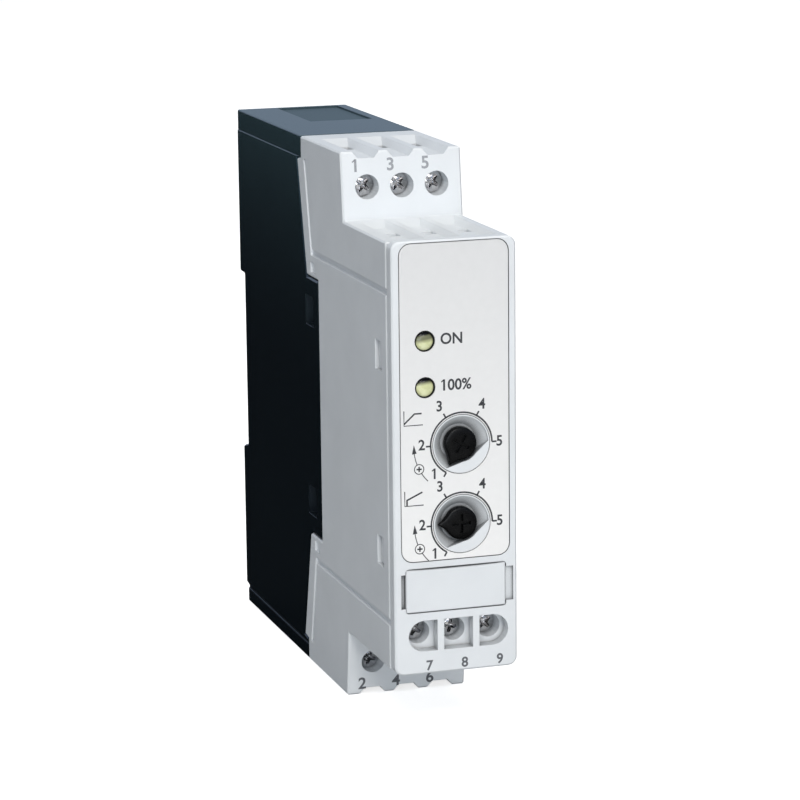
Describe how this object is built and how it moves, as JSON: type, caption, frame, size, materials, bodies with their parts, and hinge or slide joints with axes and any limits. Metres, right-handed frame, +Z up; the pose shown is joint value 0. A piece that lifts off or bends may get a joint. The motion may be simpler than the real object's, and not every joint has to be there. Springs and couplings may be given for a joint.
{
  "type": "soft starter",
  "caption": "Slim rail-mounted soft starter for small motors, with a pale terminal front, a dark rear housing, two trimmer knobs, two lamps and a rail latch.",
  "frame": {"origin": "under the middle of the bottom face", "axes": "front of the nose faces -Y, the rail seat faces +Y, +Z is up"},
  "size_m": [0.0226, 0.1004, 0.1],
  "materials": {
    "pale_housing": "fine spark-eroded texture, near white",
    "dark_housing": "fine spark-eroded texture, blue black",
    "label_film": "printed film, light grey",
    "black_knob": "moulded black",
    "lamp_lens": "diffuse pale yellow green",
    "black_plastic": "moulded black",
    "screw_zinc": "bright zinc plating",
    "clamp_steel": "zinc plated sheet",
    "tinned_copper": "tinned copper strip",
    "board_green": "green solder mask",
    "aluminium": "plain milled",
    "relay_blue": "moulded dark blue",
    "varistor_blue": "dipped blue",
    "trimmer_grey": "moulded grey",
    "spring_steel": "drawn wire"
  },
  "bodies": {
    "housing": {"rear_housing": "dark_housing", "front_housing": "pale_housing", "front_cover": "pale_housing", "face_label": "label_film", "marker_plate": "pale_housing", "power_board": "board_green", "control_board": "board_green", "board_connector": "black_plastic", "heat_sink": "aluminium", "thyristor_module": "black_plastic", "bypass_relay": "relay_blue", "varistor": "varistor_blue", "smoothing_capacitor": "aluminium", "start_time_trimmer": "trimmer_grey", "initial_voltage_trimmer": "trimmer_grey", "power_lamp": "lamp_lens", "power_lamp_holder": "black_plastic", "full_voltage_lamp": "lamp_lens", "full_voltage_lamp_holder": "black_plastic", "line_busbar_1": "tinned_copper", "line_busbar_2": "tinned_copper", "line_busbar_3": "tinned_copper", "load_busbar_1": "tinned_copper", "load_busbar_2": "tinned_copper", "load_busbar_3": "tinned_copper", "control_busbar_1": "tinned_copper", "control_busbar_2": "tinned_copper", "control_busbar_3": "tinned_copper"},
    "line_screw_1_body": {"line_screw_1": "screw_zinc"},
    "line_screw_2_body": {"line_screw_2": "screw_zinc"},
    "line_screw_3_body": {"line_screw_3": "screw_zinc"},
    "load_screw_1_body": {"load_screw_1": "screw_zinc"},
    "load_screw_2_body": {"load_screw_2": "screw_zinc"},
    "load_screw_3_body": {"load_screw_3": "screw_zinc"},
    "control_screw_1_body": {"control_screw_1": "screw_zinc"},
    "control_screw_2_body": {"control_screw_2": "screw_zinc"},
    "control_screw_3_body": {"control_screw_3": "screw_zinc"},
    "line_clamp_1_body": {"line_clamp_1": "clamp_steel"},
    "line_clamp_2_body": {"line_clamp_2": "clamp_steel"},
    "line_clamp_3_body": {"line_clamp_3": "clamp_steel"},
    "load_clamp_1_body": {"load_clamp_1": "clamp_steel"},
    "load_clamp_2_body": {"load_clamp_2": "clamp_steel"},
    "load_clamp_3_body": {"load_clamp_3": "clamp_steel"},
    "control_clamp_1_body": {"control_clamp_1": "clamp_steel"},
    "control_clamp_2_body": {"control_clamp_2": "clamp_steel"},
    "control_clamp_3_body": {"control_clamp_3": "clamp_steel"},
    "start_time_dial": {"start_time_knob": "black_knob"},
    "initial_voltage_dial": {"initial_voltage_knob": "black_knob"},
    "latch": {"din_latch": "dark_housing", "latch_spring": "spring_steel"}
  },
  "joints": [
    {"name": "start_time_turn", "type": "hinge", "parent": "housing", "child": "start_time_dial", "pos_m": [0.00115, -0.0502, 0.05235], "axis": [0, 1, 0], "range_deg": [0, 240]},
    {"name": "initial_voltage_turn", "type": "hinge", "parent": "housing", "child": "initial_voltage_dial", "pos_m": [0.00115, -0.0502, 0.0382], "axis": [0, 1, 0], "range_deg": [-60, 180]},
    {"name": "line_screw_1_turn", "type": "hinge", "parent": "housing", "child": "line_screw_1_body", "pos_m": [-0.0065, -0.0176, 0.0937], "axis": [0, 1, 0], "range_deg": [0, 1873]},
    {"name": "line_clamp_1_rise", "type": "slide", "parent": "housing", "child": "line_clamp_1_body", "axis": [0, -1, 0], "range_m": [0, 0.0026]},
    {"name": "line_screw_2_turn", "type": "hinge", "parent": "housing", "child": "line_screw_2_body", "pos_m": [0, -0.0176, 0.0937], "axis": [0, 1, 0], "range_deg": [0, 1873]},
    {"name": "line_clamp_2_rise", "type": "slide", "parent": "housing", "child": "line_clamp_2_body", "axis": [0, -1, 0], "range_m": [0, 0.0026]},
    {"name": "line_screw_3_turn", "type": "hinge", "parent": "housing", "child": "line_screw_3_body", "pos_m": [0.0065, -0.0176, 0.0937], "axis": [0, 1, 0], "range_deg": [0, 1873]},
    {"name": "line_clamp_3_rise", "type": "slide", "parent": "housing", "child": "line_clamp_3_body", "axis": [0, -1, 0], "range_m": [0, 0.0026]},
    {"name": "load_screw_1_turn", "type": "hinge", "parent": "housing", "child": "load_screw_1_body", "pos_m": [-0.0065, -0.0176, 0.0063], "axis": [0, 1, 0], "range_deg": [0, 1873]},
    {"name": "load_clamp_1_rise", "type": "slide", "parent": "housing", "child": "load_clamp_1_body", "axis": [0, -1, 0], "range_m": [0, 0.0026]},
    {"name": "load_screw_2_turn", "type": "hinge", "parent": "housing", "child": "load_screw_2_body", "pos_m": [0, -0.0176, 0.0063], "axis": [0, 1, 0], "range_deg": [0, 1873]},
    {"name": "load_clamp_2_rise", "type": "slide", "parent": "housing", "child": "load_clamp_2_body", "axis": [0, -1, 0], "range_m": [0, 0.0026]},
    {"name": "load_screw_3_turn", "type": "hinge", "parent": "housing", "child": "load_screw_3_body", "pos_m": [0.0065, -0.0176, 0.0063], "axis": [0, 1, 0], "range_deg": [0, 1873]},
    {"name": "load_clamp_3_rise", "type": "slide", "parent": "housing", "child": "load_clamp_3_body", "axis": [0, -1, 0], "range_m": [0, 0.0026]},
    {"name": "control_screw_1_turn", "type": "hinge", "parent": "housing", "child": "control_screw_1_body", "pos_m": [-0.0061, -0.0439, 0.01865], "axis": [0, 1, 0], "range_deg": [0, 1761]},
    {"name": "control_clamp_1_rise", "type": "slide", "parent": "housing", "child": "control_clamp_1_body", "axis": [0, -1, 0], "range_m": [0, 0.0022]},
    {"name": "control_screw_2_turn", "type": "hinge", "parent": "housing", "child": "control_screw_2_body", "pos_m": [0.0004, -0.0439, 0.01865], "axis": [0, 1, 0], "range_deg": [0, 1761]},
    {"name": "control_clamp_2_rise", "type": "slide", "parent": "housing", "child": "control_clamp_2_body", "axis": [0, -1, 0], "range_m": [0, 0.0022]},
    {"name": "control_screw_3_turn", "type": "hinge", "parent": "housing", "child": "control_screw_3_body", "pos_m": [0.0069, -0.0439, 0.01865], "axis": [0, 1, 0], "range_deg": [0, 1761]},
    {"name": "control_clamp_3_rise", "type": "slide", "parent": "housing", "child": "control_clamp_3_body", "axis": [0, -1, 0], "range_m": [0, 0.0022]},
    {"name": "latch_slide", "type": "slide", "parent": "housing", "child": "latch", "axis": [0, 0, -1], "range_m": [0, 0.003], "stiffness_N_per_m": 800, "springref_m": -0.002, "deforming": ["latch_spring"]}
  ],
  "couplings": [
    {"joint": "line_screw_1_turn", "follows": "line_clamp_1_rise", "rad_per_m": 12566},
    {"joint": "line_screw_2_turn", "follows": "line_clamp_2_rise", "rad_per_m": 12566},
    {"joint": "line_screw_3_turn", "follows": "line_clamp_3_rise", "rad_per_m": 12566},
    {"joint": "load_screw_1_turn", "follows": "load_clamp_1_rise", "rad_per_m": 12566},
    {"joint": "load_screw_2_turn", "follows": "load_clamp_2_rise", "rad_per_m": 12566},
    {"joint": "load_screw_3_turn", "follows": "load_clamp_3_rise", "rad_per_m": 12566},
    {"joint": "control_screw_1_turn", "follows": "control_clamp_1_rise", "rad_per_m": 13963},
    {"joint": "control_screw_2_turn", "follows": "control_clamp_2_rise", "rad_per_m": 13963},
    {"joint": "control_screw_3_turn", "follows": "control_clamp_3_rise", "rad_per_m": 13963}
  ]
}
